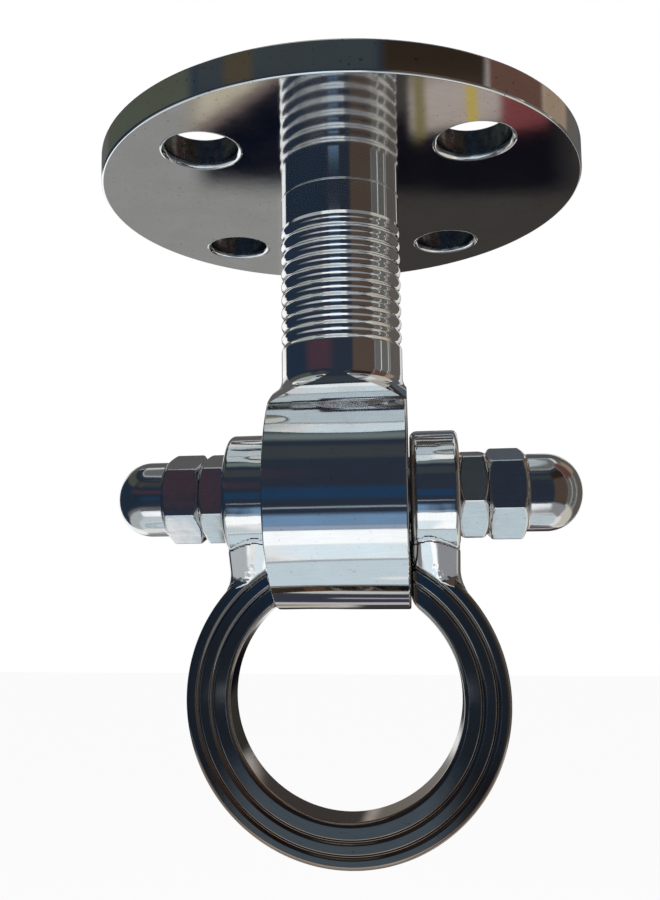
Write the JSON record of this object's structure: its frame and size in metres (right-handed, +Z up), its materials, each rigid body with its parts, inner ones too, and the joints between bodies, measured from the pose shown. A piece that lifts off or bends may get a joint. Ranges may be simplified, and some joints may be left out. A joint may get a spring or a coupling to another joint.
{
  "type": "swivel hoist ring",
  "caption": "Ceiling-mounted hanger whose grooved ring swings on sealed ball bearings below a drilled round plate, for a swing, hammock or hoist line.",
  "frame": {"origin": "centre of the ceiling plate's mounting face", "axes": "+Z up into the ceiling, X along the swing axle, ring hanging below and facing -Y"},
  "size_m": [0.114, 0.114, 0.1632],
  "materials": {
    "polished_steel": "mirror-polished stainless steel",
    "ring_steel": "turned and polished stainless steel",
    "nut_steel": "stainless steel, satin flats and polished domes",
    "weld_steel": "ground weld",
    "bearing_steel": "ground bearing steel",
    "cage_steel": "pressed steel",
    "seal_rubber": "matte black rubber",
    "turned_steel": "turned steel"
  },
  "bodies": {
    "mount": {"ceiling_plate": "polished_steel", "stem": "polished_steel", "stem_weld": "weld_steel", "bearing_barrel": "polished_steel", "left_outer_race": "bearing_steel", "right_outer_race": "bearing_steel", "left_bearing_seals": "seal_rubber", "right_bearing_seals": "seal_rubber"},
    "ring": {"swing_ring": "ring_steel", "left_ear": "polished_steel", "right_ear": "polished_steel", "axle_stud": "turned_steel", "left_jam_nut": "nut_steel", "right_jam_nut": "nut_steel", "left_dome_nut": "nut_steel", "right_dome_nut": "nut_steel", "left_thrust_washer": "turned_steel", "right_thrust_washer": "turned_steel", "left_inner_race": "bearing_steel", "right_inner_race": "bearing_steel", "bearing_spacer": "turned_steel"},
    "left_ball_set": {"left_balls": "bearing_steel", "left_ball_cage": "cage_steel"},
    "right_ball_set": {"right_balls": "bearing_steel", "right_ball_cage": "cage_steel"}
  },
  "joints": [
    {"name": "ring_swing", "type": "hinge", "parent": "mount", "child": "ring", "pos_m": [0, 0, -0.079], "axis": [1, 0, 0], "range_deg": [-145, 145]},
    {"name": "left_balls_roll", "type": "hinge", "parent": "mount", "child": "left_ball_set", "pos_m": [0, 0, -0.079], "axis": [1, 0, 0], "range_deg": [-50, 50]},
    {"name": "right_balls_roll", "type": "hinge", "parent": "mount", "child": "right_ball_set", "pos_m": [0, 0, -0.079], "axis": [1, 0, 0], "range_deg": [-50, 50]}
  ],
  "couplings": [
    {"joint": "left_balls_roll", "follows": "ring_swing", "ratio": 0.338},
    {"joint": "right_balls_roll", "follows": "ring_swing", "ratio": 0.338}
  ]
}
